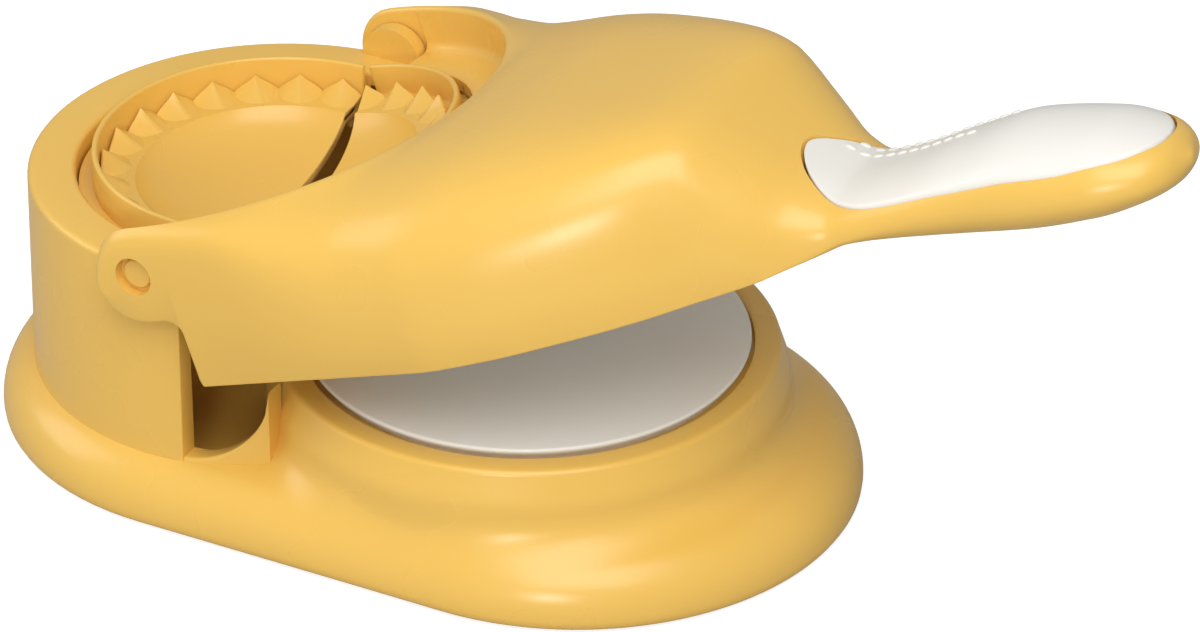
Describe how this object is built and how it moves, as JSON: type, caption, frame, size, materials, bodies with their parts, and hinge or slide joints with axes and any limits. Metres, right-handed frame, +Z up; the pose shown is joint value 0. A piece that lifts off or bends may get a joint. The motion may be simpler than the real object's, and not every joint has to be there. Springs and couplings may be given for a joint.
{
  "type": "dumpling press",
  "caption": "Hinged hand press for filled dough: a pair of round plates under the lever, and a half-moon mould with crimping teeth in the tower at its hinge.",
  "frame": {"origin": "on the table, under the middle of the outline at rest", "axes": "+X from the mould tower towards the handle's tip, +Y across, along the hinge, +Z up"},
  "size_m": [0.2674, 0.1208, 0.117],
  "materials": {
    "yellow_plastic": "soft gloss",
    "white_plastic": "soft gloss",
    "steel": "plain",
    "rubber": "matt"
  },
  "bodies": {
    "base": {"base_shell": "yellow_plastic", "bottom_cover": "yellow_plastic", "rubber_foot_1": "rubber", "rubber_foot_2": "rubber", "rubber_foot_3": "rubber", "rubber_foot_4": "rubber", "cover_screws": "steel", "lower_plate": "white_plastic", "lower_plate_screws": "steel", "rear_mould": "yellow_plastic", "rear_mould_screws": "steel", "pivot_pin_near": "yellow_plastic", "pivot_pin_far": "yellow_plastic"},
    "lever": {"lever_shell": "yellow_plastic", "plate_carrier": "yellow_plastic", "carrier_screws": "steel", "upper_plate": "white_plastic", "upper_plate_screws": "steel", "front_mould": "yellow_plastic", "front_mould_screws": "steel", "handle_inlay": "white_plastic", "inlay_screws": "steel"}
  },
  "joints": [
    {"name": "lever_hinge", "type": "hinge", "parent": "base", "child": "lever", "pos_m": [-0.07308, 0, 0.0591], "axis": [0, -1, 0], "range_deg": [-19.2, 160.8]}
  ]
}
